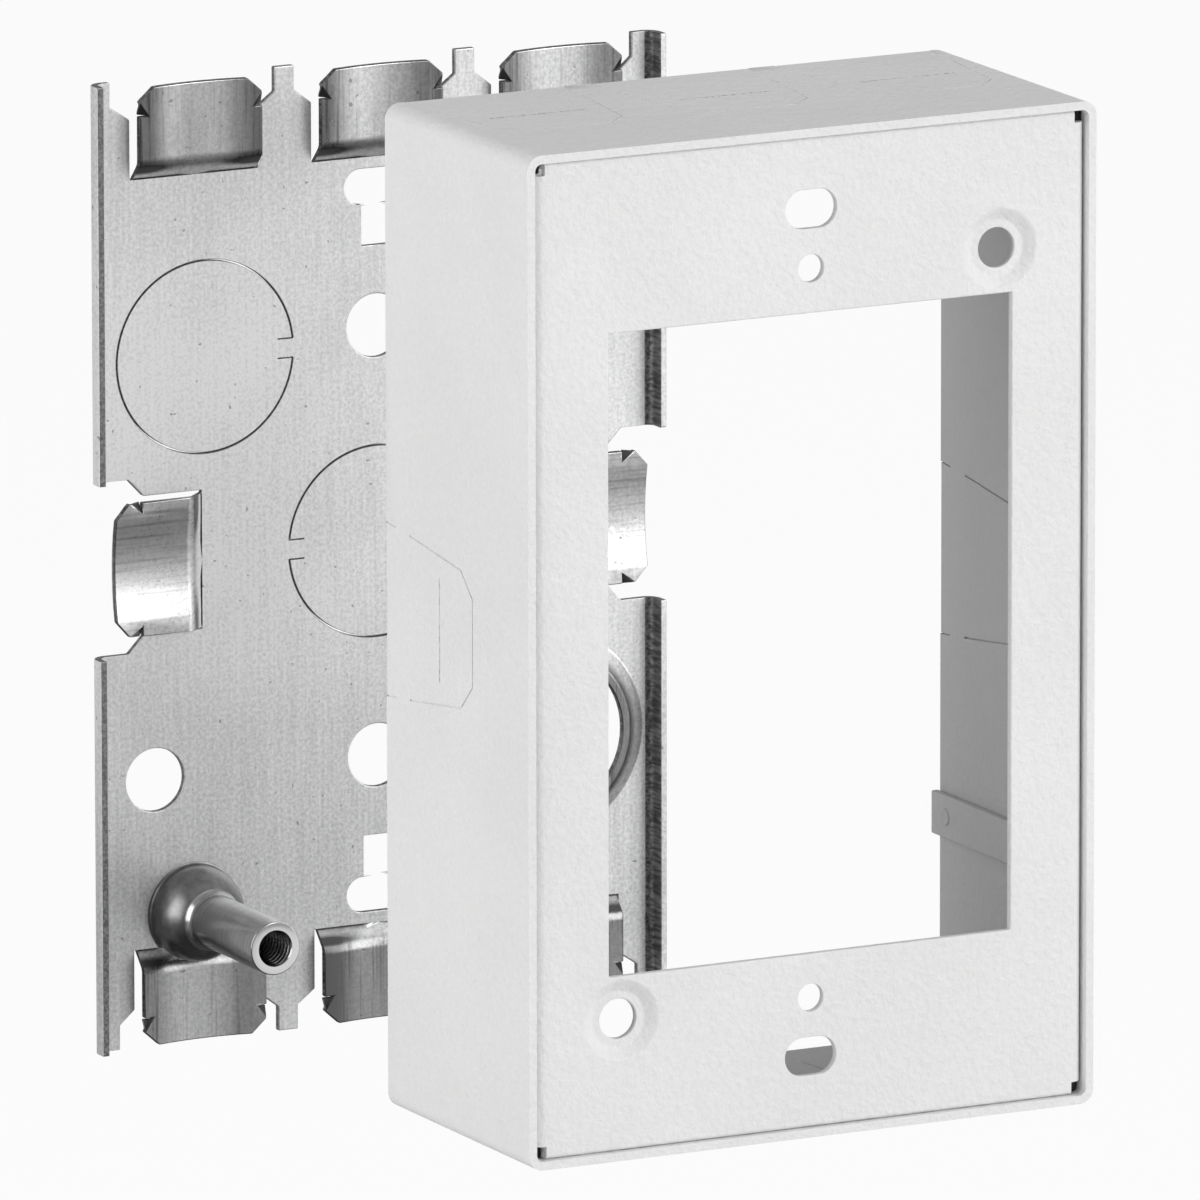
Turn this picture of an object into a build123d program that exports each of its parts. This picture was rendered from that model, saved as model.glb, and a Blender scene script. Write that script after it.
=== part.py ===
"""Raceway outlet box: a stamped base plate for the wall and a welded sheet-steel cover, shown drawn apart.

Millimetres. +Z is up, the wall is the plane y = 0 behind the base plate, and the box faces -Y.
The origin is the middle of the base plate's back face.
"""
from build123d import *
import os
from math import asin, cos, radians, sin, sqrt

# Cover: a band of sheet steel with a folded front tray welded into it
cover_width = 71.6
cover_height = 115.3
cover_depth = 34.9
band_sheet = 1.0
band_corner_radius = 1.8
tray_sheet = 0.9
tray_gap = 0.05
tray_recess = 0.6
tray_side_bend = 1.25
tray_end_bend = 0.5
tray_flange_depth = 8.0
corner_relief = 1.45

# Openings and holes of the front tray
device_opening_width = 50.8
device_opening_height = 73.2
device_screw_spacing = 83.34
device_screw_diameter = 3.2
plate_screw_spacing = 96.84
plate_slot_length = 6.45
plate_slot_width = 4.4
cover_screw_x = 23.86
cover_screw_diameter = 4.6
dimple_diameter = 9.2
dimple_floor_diameter = 6.6
dimple_depth = 0.9
dimple_inner_step = 0.3

# Legs that run from the tray's side flanges to the rear edge
leg_width = 5.0
leg_height_from_middle = 30.8
leg_overhang = 0.4

# Knockouts for the raceway, sheared through the band's walls and held by two bridges each
knockout_rear_width = 20.0
knockout_front_width = 15.8
knockout_length = 21.3
knockout_corner = 2.9
shear_width = 0.2
score_depth = 0.2
bridge_start = 2.4
bridge_length = 3.4
small_knockout_length = 13.2
small_knockout_width = 12.0

# Base plate
plate_sheet = 0.85
plate_height = 114.2
side_clearance = 0.15
flange_depth = 3.2
flange_inner_radius = 1.0
flange_overlap = 0.5
side_window_height = 20.6
seat_gap = 0.8

# Raceway tongues of the base plate
tongue_pitch = 23.35
tongue_width = 15.8
tongue_tip_chamfer = 1.7
tongue_offset = 2.0
tongue_dip = 0.65
tongue_root_dip = 0.02
tongue_margin = 1.9
tongue_riser = 2.1
tongue_length = 11.1
side_tongue_length = 11.95
tongue_clearance = 0.1
side_tongue_clearance = 0.3
slit_width = 0.3
barb_width = 1.15
barb_height = 1.65
barb_flare = 0.3
barb_angle = 35.0

# Fingers between the tongues
finger_width = 2.55
finger_length = 2.9
shoulder_height = 1.65
corner_finger_width = 2.75
wide_corner_finger_width = 3.35
side_shoulder = 2.0

# Wall holes of the base plate
wall_hole_diameter = 7.5
wall_hole_z = 25.5
outer_hole_x = 28.75
keyhole_z = 42.0
keyhole_lobe_length = 8.0
keyhole_lobe_height = 4.2
keyhole_slot_width = 3.6
keyhole_slot_end_z = 35.0

# Conduit knockouts of the base plate
conduit_knockout_diameter = 22.7
conduit_knockout_x = 22.05
conduit_knockout_z = 23.9
conduit_shear_width = 0.18
conduit_tab_width = 2.3
conduit_tab_length = 2.0

# Collared cable hole, lower right
collar_x = 22.4
collar_z = 25.4
collar_foot_diameter = 24.6
collar_crest_diameter = 20.2
collar_hole_diameter = 18.4
collar_height = 2.0
collar_inner_step = 0.4

# Threaded posts on domed seats
post_length = 22.1
post_diameter = 6.3
post_thread_diameter = 4.05
post_thread_depth = 16.0
dome_radius = 5.6
dome_centre = 1.5
dome_seat_diameter = 7.3
dome_outer_strips = 3
dome_inner_strips = 1

# Where the cover stands while it is drawn off the base plate
cover_drawn_forward = 72.85
cover_raised = 9.72

# Sizes that follow from the ones above
plate_width = cover_width + 2 * (side_clearance + plate_sheet)
plate_top = plate_height / 2
flange_face_x = plate_width / 2 - plate_sheet
bend_x = flange_face_x - flange_inner_radius
flange_outer_radius = flange_inner_radius + plate_sheet
tongue_root = cover_height / 2 - band_sheet - tongue_clearance - tongue_length
side_tongue_root = cover_width / 2 - band_sheet - side_tongue_clearance - side_tongue_length
window_half_width = tongue_width / 2 + slit_width
shoulder_z = plate_top - finger_length - shoulder_height
device_screw_z = device_screw_spacing / 2
dome_height = dome_centre + sqrt(dome_radius**2 - (dome_seat_diameter / 2) ** 2)
dome_inner_height = dome_height - plate_sheet
dome_foot_radius = sqrt(dome_radius**2 - (plate_sheet - dome_centre) ** 2)
post_places = {"post_lower_left": -1, "post_upper_right": 1}
cover_rear_y = plate_sheet + seat_gap + cover_drawn_forward
cover_front_y = cover_rear_y + cover_depth
tray_front_y = cover_front_y - tray_recess
tray_width = cover_width - 2 * (band_sheet + tray_gap)
tray_height = cover_height - 2 * (band_sheet + tray_gap)

os.makedirs("parts", exist_ok=True)


def facing(y, z=0.0):
    """A plane parallel to the wall, y in front of it, whose normal points out into the room."""
    return Plane(origin=(0, -y, z), x_dir=(1, 0, 0), z_dir=(0, -1, 0))


def dome_side(radius, low, high, strips):
    """Points of a dome's round side, from height low to height high, at equal steps of angle."""
    start = asin((low - dome_centre) / radius)
    turn = asin((high - dome_centre) / radius) - start
    angles = [start + turn * step / strips for step in range(strips + 1)]
    return [(radius * cos(angle), -dome_centre - radius * sin(angle)) for angle in angles]


def trough(plane, lift, dip):
    """The section of a tongue: a strip lifted off the wall, flat at both sides and sagging between."""
    half = tongue_width / 2
    inner = half - tongue_margin
    with BuildSketch(plane) as section:
        with BuildLine():
            for level in (lift, lift + plate_sheet):
                Line((-half, level), (-inner, level))
                ThreePointArc((-inner, level), (0, level - dip), (inner, level))
                Line((inner, level), (half, level))
            Line((-half, lift), (-half, lift + plate_sheet))
            Line((half, lift), (half, lift + plate_sheet))
        make_face()
    return section.sketch


def raceway_tongue(length):
    """A joggled tongue that points up from z = 0: riser, shallow trough, chamfered tip, two barbs."""
    half = tongue_width / 2
    chamfer_z = length - tongue_tip_chamfer
    barb_z = chamfer_z - barb_height
    overshoot = tongue_offset
    # The sections' own y is forward, off the wall
    across = Plane(origin=(0, 0, 0), x_dir=(1, 0, 0), z_dir=(0, 0, -1))
    with BuildPart() as tongue:
        root = trough(across, tongue_root_dip, tongue_root_dip)
        body = trough(across.offset(-tongue_riser), tongue_offset, tongue_dip)
        loft([root, body], ruled=True)
        extrude(body, amount=-(length - tongue_riser))
        # Cut the tip's corners at a slant, and below each of them the triangle that becomes a barb
        with BuildSketch(facing(0)):
            with BuildLine():
                Polyline(
                    (half - tongue_margin, length + overshoot),
                    (half - tongue_margin, length),
                    (half, chamfer_z),
                    (half - barb_width, barb_z),
                    (half + overshoot, barb_z),
                    (half + overshoot, length + overshoot),
                    close=True,
                )
            make_face()
            mirror(about=Plane.YZ)
        extrude(amount=2 * (tongue_offset + plate_sheet), mode=Mode.SUBTRACT)
        for side in (-1, 1):
            hinge = Vector(side * half, -(tongue_offset + plate_sheet), chamfer_z)
            fold = Vector(-side * barb_width, 0, -barb_height).normalized()
            outward = Vector(side * barb_height, 0, -barb_width).normalized()
            bent = outward * cos(radians(barb_angle)) + Vector(0, sin(radians(barb_angle)), 0)
            corner = Vector(side * barb_flare, 0, -barb_height)
            leaf = Plane(origin=hinge, x_dir=fold, z_dir=fold.cross(bent))
            with BuildSketch(leaf):
                with BuildLine():
                    Polyline(
                        (0, 0),
                        (corner.dot(fold), corner.dot(outward)),
                        ((barb_width**2 + barb_height**2) ** 0.5, 0),
                        close=True,
                    )
                make_face()
            extrude(amount=-side * plate_sheet)
    return tongue.part


upright_tongue = raceway_tongue(tongue_length)
side_tongue = raceway_tongue(side_tongue_length)

# Base plate
with BuildPart() as base_plate:
    finger_side = tongue_pitch / 2 - finger_width / 2
    corner_side = plate_width / 2 - corner_finger_width - tongue_pitch
    wide_corner_side = plate_width / 2 - wide_corner_finger_width - tongue_pitch
    with BuildSketch(facing(0)):
        Rectangle(2 * bend_x, plate_height)
        # Windows above, each round a tongue: slits, then shoulders that leave the fingers; turned half
        # round they are the windows below
        for column, left, right in (
            (-tongue_pitch, corner_side, finger_side),
            (0, finger_side, finger_side),
            (tongue_pitch, finger_side, wide_corner_side),
        ):
            with BuildLine():
                Polyline(
                    (column - window_half_width, tongue_root),
                    (column - window_half_width, shoulder_z),
                    (column - left, shoulder_z + shoulder_height),
                    (column - left, plate_height),
                    (column + right, plate_height),
                    (column + right, shoulder_z + shoulder_height),
                    (column + window_half_width, shoulder_z),
                    (column + window_half_width, tongue_root),
                    close=True,
                )
            upper = make_face(mode=Mode.PRIVATE)
            add(upper, mode=Mode.SUBTRACT)
            add(upper.rotate(Axis.Z, 180), mode=Mode.SUBTRACT)
        # Side windows, open to the plate's edge
        with BuildLine():
            Polyline(
                (side_tongue_root, -window_half_width),
                (side_tongue_root, window_half_width),
                (plate_width / 2 - corner_finger_width - 2 * side_shoulder, window_half_width),
                (plate_width / 2 - corner_finger_width - side_shoulder, side_window_height / 2),
                (plate_width, side_window_height / 2),
                (plate_width, -side_window_height / 2),
                (plate_width / 2 - corner_finger_width - side_shoulder, -side_window_height / 2),
                (plate_width / 2 - corner_finger_width - 2 * side_shoulder, -window_half_width),
                close=True,
            )
        side_window = make_face(mode=Mode.PRIVATE)
        add(side_window, mode=Mode.SUBTRACT)
        add(side_window.mirror(Plane.YZ), mode=Mode.SUBTRACT)
        # Round wall holes, and keyholes: a crosswise lobe with a narrower slot towards the middle
        for side in (-1, 1):
            with Locations((0, side * wall_hole_z), (side * outer_hole_x, side * wall_hole_z)):
                Circle(wall_hole_diameter / 2, mode=Mode.SUBTRACT)
            with Locations((0, side * keyhole_z)):
                SlotOverall(keyhole_lobe_length, keyhole_lobe_height, mode=Mode.SUBTRACT)
            with Locations((0, side * (keyhole_z + keyhole_slot_end_z) / 2)):
                Rectangle(keyhole_slot_width, keyhole_z - keyhole_slot_end_z, mode=Mode.SUBTRACT)
        # Room for the domes and the collar that are formed below
        for side in (-1, 1):
            with Locations((side * cover_screw_x, side * device_screw_z)):
                Circle(dome_foot_radius, mode=Mode.SUBTRACT)
        with Locations((collar_x, -collar_z)):
            Circle(collar_foot_diameter / 2, mode=Mode.SUBTRACT)
    extrude(amount=plate_sheet)

    # Side flanges, bent forward
    flange_span = plate_top - side_window_height / 2
    bend_middle = (bend_x, -flange_outer_radius)
    for bottom in (side_window_height / 2, -plate_top):
        with BuildSketch(Plane.XY.offset(bottom)):
            with BuildLine():
                Polyline(
                    (bend_x, 0),
                    (bend_x - flange_overlap, 0),
                    (bend_x - flange_overlap, -plate_sheet),
                    (bend_x, -plate_sheet),
                )
                CenterArc(bend_middle, flange_inner_radius, 0, 90)
                Polyline(
                    (flange_face_x, -flange_outer_radius),
                    (flange_face_x, -flange_depth),
                    (plate_width / 2, -flange_depth),
                    (plate_width / 2, -flange_outer_radius),
                )
                CenterArc(bend_middle, flange_outer_radius, 0, 90)
            make_face()
            mirror(about=Plane.YZ)
        extrude(amount=flange_span)

    # Raceway tongues
    for column in (-1, 0, 1):
        with Locations(
            Location((column * tongue_pitch, 0, tongue_root), (0, 0, 0)),
            Location((column * tongue_pitch, 0, -tongue_root), (0, 180, 0)),
        ):
            add(upright_tongue)
    with Locations(
        Location((side_tongue_root, 0, 0), (0, 90, 0)),
        Location((-side_tongue_root, 0, 0), (0, -90, 0)),
    ):
        add(side_tongue)

    # Domed seats for the posts, pressed forward out of the sheet
    for side in (-1, 1):
        seat = Plane(
            origin=(side * cover_screw_x, 0, side * device_screw_z), x_dir=(1, 0, 0), z_dir=(0, 0, 1)
        )
        outside = dome_side(dome_radius, plate_sheet, dome_height, dome_outer_strips)
        inside = dome_side(dome_radius - plate_sheet, 0, dome_inner_height, dome_inner_strips)
        with BuildSketch(seat):
            with BuildLine():
                Polyline(
                    (dome_foot_radius, 0),
                    *outside,
                    (0, -dome_height),
                    (0, -dome_inner_height),
                    *reversed(inside),
                    close=True,
                )
            make_face()
        revolve(axis=Axis(seat.origin, (0, 1, 0)))

    # Collar round the cable hole, pressed forward out of the sheet
    collar_seat = Plane(origin=(collar_x, 0, -collar_z), x_dir=(1, 0, 0), z_dir=(0, 0, 1))
    with BuildSketch(collar_seat):
        with BuildLine():
            Polyline(
                (collar_foot_diameter / 2, 0),
                (collar_foot_diameter / 2, -plate_sheet),
                (collar_crest_diameter / 2, -collar_height),
                (collar_hole_diameter / 2, -collar_height),
                (collar_hole_diameter / 2, -(collar_height - plate_sheet)),
                (collar_foot_diameter / 2 - collar_inner_step, 0),
                close=True,
            )
        make_face()
    revolve(axis=Axis(collar_seat.origin, (0, 1, 0)))

    # Conduit knockouts: a ring sheared through the sheet, left whole at one tab between two short slits
    radius = conduit_knockout_diameter / 2
    for centre_x, centre_z, tab_side in ((-conduit_knockout_x, conduit_knockout_z, 1), (0, 0, -1)):
        with BuildSketch(facing(0)):
            with Locations((centre_x, centre_z)):
                Circle(radius + conduit_shear_width / 2)
                Circle(radius - conduit_shear_width / 2, mode=Mode.SUBTRACT)
            with Locations((centre_x + tab_side * radius, centre_z)):
                Rectangle(conduit_tab_length, conduit_tab_width, mode=Mode.SUBTRACT)
            slit_x = centre_x + tab_side * (radius - conduit_tab_length / 2)
            for slit in (-1, 1):
                with Locations((slit_x, centre_z + slit * conduit_tab_width / 2)):
                    Rectangle(conduit_tab_length, conduit_shear_width)
        extrude(amount=plate_sheet, mode=Mode.SUBTRACT)
base_plate.part.label = "base_plate"
export_step(base_plate.part, "parts/base_plate.step")

# Posts: a turned tube with a blind threaded bore, welded on top of its dome
for name, side in post_places.items():
    thread_end = post_length - post_thread_depth
    with BuildPart() as post:
        stand = Plane(
            origin=(side * cover_screw_x, 0, side * device_screw_z), x_dir=(1, 0, 0), z_dir=(0, 0, 1)
        )
        with BuildSketch(stand):
            with BuildLine():
                Polyline(
                    (0, -thread_end),
                    (post_thread_diameter / 2, -thread_end),
                    (post_thread_diameter / 2, -post_length),
                    (post_diameter / 2, -post_length),
                    (post_diameter / 2, -dome_height),
                    (0, -dome_height),
                    close=True,
                )
            make_face()
        revolve(axis=Axis(stand.origin, (0, 1, 0)))
    post.part.label = name
    export_step(post.part, f"parts/{name}.step")

# Cover band: the four walls of the box
with BuildPart() as wall_band:
    with BuildSketch(facing(cover_rear_y, cover_raised)):
        RectangleRounded(cover_width, cover_height, band_corner_radius)
        RectangleRounded(
            cover_width - 2 * band_sheet,
            cover_height - 2 * band_sheet,
            band_corner_radius - band_sheet,
            mode=Mode.SUBTRACT,
        )
    extrude(amount=cover_depth)
    # Knockouts; the sketches' own y is forward from the rear edge
    rear = knockout_rear_width / 2
    front = knockout_front_width / 2
    taper = (rear - front) / knockout_length
    bridge_end = bridge_start + bridge_length
    start_width = rear - taper * bridge_start
    end_width = rear - taper * bridge_end
    for direction, distance, columns in (
        ((0, 0, 1), cover_height / 2, (-tongue_pitch, 0, tongue_pitch)),
        ((0, 0, -1), cover_height / 2, (-tongue_pitch, 0, tongue_pitch)),
        ((1, 0, 0), cover_width / 2, (0,)),
        ((-1, 0, 0), cover_width / 2, (0,)),
    ):
        for column in columns:
            outward = Vector(*direction)
            along = Vector(0, -1, 0).cross(outward)
            origin = Vector(0, -cover_rear_y, cover_raised) + outward * distance + along * column
            wall = Plane(origin=origin, x_dir=along, z_dir=outward)
            with BuildSketch(wall):
                with BuildLine():
                    Line((-rear, 0), (-start_width, bridge_start))
                    Line((rear, 0), (start_width, bridge_start))
                    Polyline(
                        (-end_width, bridge_end),
                        (-front, knockout_length - knockout_corner),
                        (-front + knockout_corner, knockout_length),
                        (front - knockout_corner, knockout_length),
                        (front, knockout_length - knockout_corner),
                        (end_width, bridge_end),
                    )
                trace(line_width=shear_width)
            extrude(amount=-band_sheet, mode=Mode.SUBTRACT)
            # A scored line marks off the smaller knockout
            with BuildSketch(wall):
                with Locations((0, small_knockout_length)):
                    Rectangle(small_knockout_width, shear_width)
            extrude(amount=-score_depth, mode=Mode.SUBTRACT)
wall_band.part.label = "wall_band"
export_step(wall_band.part, "parts/wall_band.step")

# Front tray: the face of the cover, with folded flanges, holes and two legs
with BuildPart() as face_tray:
    tray_rear_y = tray_front_y - tray_flange_depth
    with BuildSketch(facing(tray_rear_y, cover_raised)):
        Rectangle(tray_width, tray_height)
    extrude(amount=tray_flange_depth)
    front_edges = face_tray.faces().sort_by(Axis.Y)[0].edges()
    fillet(front_edges.filter_by(Axis.Z), tray_side_bend)
    front_ends = face_tray.faces().sort_by(Axis.Y)[0].edges().filter_by(Axis.X)
    fillet(front_ends, tray_end_bend)
    with BuildSketch(facing(tray_rear_y, cover_raised)):
        Rectangle(tray_width - 2 * tray_sheet, tray_height - 2 * tray_sheet)
    extrude(amount=tray_flange_depth - tray_sheet, mode=Mode.SUBTRACT)
    # Corner reliefs, the device opening and the holes
    with BuildSketch(facing(tray_rear_y, cover_raised)):
        with GridLocations(tray_width - corner_relief, tray_height - corner_relief, 2, 2):
            Rectangle(corner_relief, corner_relief)
        Rectangle(device_opening_width, device_opening_height)
        with GridLocations(1, device_screw_spacing, 1, 2):
            Circle(device_screw_diameter / 2)
        with GridLocations(1, plate_screw_spacing, 1, 2):
            SlotOverall(plate_slot_length, plate_slot_width)
        for side in (-1, 1):
            with Locations((side * cover_screw_x, side * device_screw_z)):
                Circle(dimple_diameter / 2)
    extrude(amount=tray_flange_depth, mode=Mode.SUBTRACT)
    # Dimples round the two cover screw holes
    for side in (-1, 1):
        dimple = Plane(
            origin=(side * cover_screw_x, -tray_front_y, cover_raised + side * device_screw_z),
            x_dir=(1, 0, 0),
            z_dir=(0, 0, 1),
        )
        with BuildSketch(dimple):
            with BuildLine():
                Polyline(
                    (dimple_diameter / 2, 0),
                    (dimple_floor_diameter / 2, dimple_depth),
                    (cover_screw_diameter / 2, dimple_depth),
                    (cover_screw_diameter / 2, dimple_depth + tray_sheet),
                    (dimple_floor_diameter / 2 + dimple_inner_step, dimple_depth + tray_sheet),
                    (dimple_diameter / 2, tray_sheet),
                    close=True,
                )
            make_face()
        revolve(axis=Axis(dimple.origin, (0, 1, 0)))
    # Legs: the lower one on the right flange, the upper one on the left
    for side in (-1, 1):
        leg_z = cover_raised - side * leg_height_from_middle
        leg_start = tray_rear_y + tray_sheet / 2
        leg_length = leg_start - (cover_rear_y - leg_overhang)
        with BuildSketch(facing(cover_rear_y - leg_overhang)):
            with Locations((side * (tray_width - tray_sheet) / 2, leg_z)):
                Rectangle(tray_sheet, leg_width)
        extrude(amount=leg_length)
face_tray.part.label = "face_tray"
export_step(face_tray.part, "parts/face_tray.step")
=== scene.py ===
# %% [markdown]
# # Raceway outlet box, drawn apart
#
# The real object is two things made of sheet steel. A bright galvanised base plate is screwed to
# the wall, and a deep white cover slides over it and takes the wiring device. Here the cover
# stands off the plate, so both finishes show at once.
#
# The solids come from the CAD model with their shapes and sizes. What is left to Blender is the
# finish of each surface, the soft edges, smooth round forms, the threads, the weld marks, the
# light and the camera. We load the imported model first and keep its box.

# %% Load the frame
import math

import bmesh
import bpy
from mathutils import Matrix, Vector


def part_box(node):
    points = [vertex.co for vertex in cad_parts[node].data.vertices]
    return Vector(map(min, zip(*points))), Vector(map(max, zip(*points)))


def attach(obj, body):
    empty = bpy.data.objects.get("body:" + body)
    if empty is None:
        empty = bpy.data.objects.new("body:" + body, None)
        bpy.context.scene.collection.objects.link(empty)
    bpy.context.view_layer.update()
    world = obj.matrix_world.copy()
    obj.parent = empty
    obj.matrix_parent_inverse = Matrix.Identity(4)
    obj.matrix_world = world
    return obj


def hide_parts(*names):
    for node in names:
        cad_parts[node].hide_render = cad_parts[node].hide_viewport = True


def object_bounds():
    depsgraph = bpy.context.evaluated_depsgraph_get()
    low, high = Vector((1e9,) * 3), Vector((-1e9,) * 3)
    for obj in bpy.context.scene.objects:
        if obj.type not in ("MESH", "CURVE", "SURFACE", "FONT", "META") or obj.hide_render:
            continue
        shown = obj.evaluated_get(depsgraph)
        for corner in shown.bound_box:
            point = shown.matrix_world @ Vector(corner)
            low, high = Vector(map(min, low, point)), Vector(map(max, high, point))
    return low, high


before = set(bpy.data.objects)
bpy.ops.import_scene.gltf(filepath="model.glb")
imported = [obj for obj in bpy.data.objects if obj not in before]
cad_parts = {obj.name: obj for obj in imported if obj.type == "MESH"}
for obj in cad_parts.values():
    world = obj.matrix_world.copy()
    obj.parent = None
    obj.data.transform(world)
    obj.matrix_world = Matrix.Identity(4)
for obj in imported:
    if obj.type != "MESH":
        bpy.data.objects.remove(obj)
cad_low, cad_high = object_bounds()
print("box in mm:", [round(1000 * (high - low), 1) for low, high in zip(cad_low, cad_high)])

# %% [markdown]
# ## Measures that several cells share
#
# Blender counts in metres and a workshop in millimetres, so a length is written in millimetres
# times `mm`. X runs across the plate, Y is the depth, with the wall at 0 and the viewer on the
# minus side, and Z runs up from the plate's middle.

# %% Shared measures
mm = 0.001
cover_rise = 9.72 * mm
post_spots = {"lower_left": (-23.86 * mm, -41.67 * mm), "upper_right": (23.86 * mm, 41.67 * mm)}
knockout_centres = [(-22.05 * mm, 23.9 * mm), (0.0, 0.0)]
knockout_radius = 11.35 * mm
tongue_spacing = 23.35 * mm
flange_bend = (34.3 * mm, 34.7 * mm)
print(len(post_spots), "posts and", len(knockout_centres), "round knockouts")

# %% [markdown]
# ## Shader maths as expressions
#
# A finish is mostly arithmetic: a mask here, a little more roughness there. Wiring Math nodes by
# hand hides that arithmetic, so one small class wraps a socket and lets us write `1 - mask * 0.4`.
# Each operator adds the Math node it stands for. Everything else, such as a noise texture or a
# bump, comes from one method that takes the node's type, its settings and its inputs.


# %% A socket that takes operators
class Value:
    """One output socket of a node tree, with arithmetic."""

    def __init__(self, tree, socket):
        self.tree = tree
        self.socket = socket

    def node(self, kind, settings=None, output=0, **inputs):
        """A new node. An input is named as on the node, or i and its number."""
        made = self.tree.nodes.new(kind)
        for name, value in (settings or {}).items():
            setattr(made, name, value)
        for name, value in inputs.items():
            numbered = name[0] == "i" and name[1:].isdigit()
            socket = made.inputs[int(name[1:]) if numbered else name.replace("_", " ")]
            if isinstance(value, Value):
                self.tree.links.new(value.socket, socket)
            else:
                socket.default_value = value
        return Value(self.tree, made.outputs[output])

    def maths(self, operation, other=None):
        inputs = {"i0": self} if other is None else {"i0": self, "i1": other}
        return self.node("ShaderNodeMath", {"operation": operation}, **inputs)

    def __add__(self, other):
        return self.maths("ADD", other)

    __radd__ = __add__

    def __sub__(self, other):
        return self.maths("SUBTRACT", other)

    def __rsub__(self, other):
        return self.node("ShaderNodeMath", {"operation": "SUBTRACT"}, i0=other, i1=self)

    def __mul__(self, other):
        return self.maths("MULTIPLY", other)

    __rmul__ = __mul__

    def __abs__(self):
        return self.maths("ABSOLUTE")

    def band(self, low, high):
        """0 below low, 1 above high, and a smooth step between them."""
        return self.node(
            "ShaderNodeMapRange",
            {"interpolation_type": "SMOOTHSTEP"},
            Value=self,
            From_Min=low,
            From_Max=high,
        )

    def mix(self, one, other):
        """The colour or number `one` where this is 0, `other` where it is 1."""
        return self.node(
            "ShaderNodeMix", {"data_type": "RGBA"}, output=2, i0=self, i6=one, i7=other
        )

    def parts(self):
        """The X, Y and Z of a vector."""
        split = self.node("ShaderNodeSeparateXYZ", Vector=self).socket.node
        return [Value(self.tree, split.outputs[axis]) for axis in "XYZ"]


def new_material(name):
    """An empty Principled material, its shader node, and object coordinates to build on."""
    material = bpy.data.materials.new(name)
    material.use_nodes = True
    tree = material.node_tree
    coordinates = tree.nodes.new("ShaderNodeTexCoord")
    return material, tree.nodes["Principled BSDF"], Value(tree, coordinates.outputs["Object"])


def facing_of(place):
    """The surface's normal, from the node that gives its place."""
    return Value(place.tree, place.socket.node.outputs["Normal"])


def feed(shader, **links):
    """Links values to the shader's sockets by name."""
    for name, value in links.items():
        value.tree.links.new(value.socket, shader.inputs[name.replace("_", " ")])


# %% [markdown]
# ## White enamel
#
# The cover is welded first and then sprayed with white powder, which melts into a skin with a
# fine, even grain. At arm's length the grain is what says paint and not plastic. It could be a
# displacement, but the grains are half a millimetre wide, so a bump is enough: one noise for the
# grain, a broader and weaker one for the slow orange peel under it. The powder melts unevenly,
# so the roughness follows the same noise. The inside of the cover is painted a darker grey, as
# painted shade in its hollow. The inside is told from the outside by its place.

# %% White enamel
enamel, enamel_shader, place = new_material("white_enamel")
grain = place.node("ShaderNodeTexNoise", Vector=place, Scale=1400.0, Detail=2.0, Roughness=0.6)
peel = place.node("ShaderNodeTexNoise", Vector=place, Scale=480.0, Detail=1.5, Roughness=0.5)
cloud = place.node("ShaderNodeTexNoise", Vector=place, Scale=38.0, Detail=3.0, Roughness=0.5)
enamel_height = grain * 0.7 + peel * 0.5
enamel_bump = place.node("ShaderNodeBump", Strength=1.0, Distance=0.24 * mm, Height=enamel_height)
outer_tone = (grain.band(0.3, 0.7) * 0.4 + cloud.band(0.3, 0.7) * 0.6).mix(
    (0.77, 0.77, 0.768, 1), (0.83, 0.83, 0.828, 1)
)
# A darker grey for the inside of the cover, painted shade.
inner_painted_shade = (0.50, 0.50, 0.50, 1)
across, depth, height = place.parts()
inside = (
    (1 - abs(across).band(34.9 * mm, 35.1 * mm))
    * (1 - abs(height - cover_rise).band(56.7 * mm, 56.9 * mm))
    * depth.band(-107.9 * mm, -107.2 * mm)
)
feed(
    enamel_shader,
    Base_Color=(inside * 0.85).mix(outer_tone, inner_painted_shade),
    Roughness=0.42 + peel * 0.16,
    Normal=enamel_bump,
)
enamel_shader.inputs["Specular IOR Level"].default_value = 0.4
print(enamel.name, "finish with", len(enamel.node_tree.nodes), "nodes")

# %% [markdown]
# ## Galvanised sheet
#
# The base plate is stamped from strip that was dipped in zinc. The zinc has an even, mottled
# grain with faint rolling lines, a few dark specks and some bright pits. The next three cells
# share one material. The first makes its noises, all from the place on the sheet, so that the
# lines run along the strip and turn nowhere.

# %% Zinc skin
zinc, zinc_shader, place = new_material("galvanised_sheet")
mottle = place.node("ShaderNodeTexNoise", Vector=place, Scale=2300.0, Detail=3.0, Roughness=0.65)
along_strip = place.node("ShaderNodeMapping", Vector=place, Scale=(2600.0, 2600.0, 70.0))
lines = place.node("ShaderNodeTexNoise", Vector=along_strip, Scale=1.0, Detail=2.0, Roughness=0.5)
across_strip = place.node("ShaderNodeMapping", Vector=place, Scale=(90.0, 2600.0, 2600.0))
drawn = place.node("ShaderNodeTexNoise", Vector=across_strip, Scale=1.0, Detail=2.0, Roughness=0.5)
clouds = place.node("ShaderNodeTexNoise", Vector=place, Scale=55.0, Detail=4.0, Roughness=0.6)
specks = place.node("ShaderNodeTexNoise", Vector=place, Scale=1400.0, Detail=0.5).band(0.76, 0.80)
pits = place.node(
    "ShaderNodeTexVoronoi", {"feature": "F1"}, Vector=place, Scale=260.0, Randomness=1.0
)
pit_mask = (1 - pits.band(0.05, 0.12)) * clouds.band(0.56, 0.66)
print("zinc skin from five noises and one pattern of pits")
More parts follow.
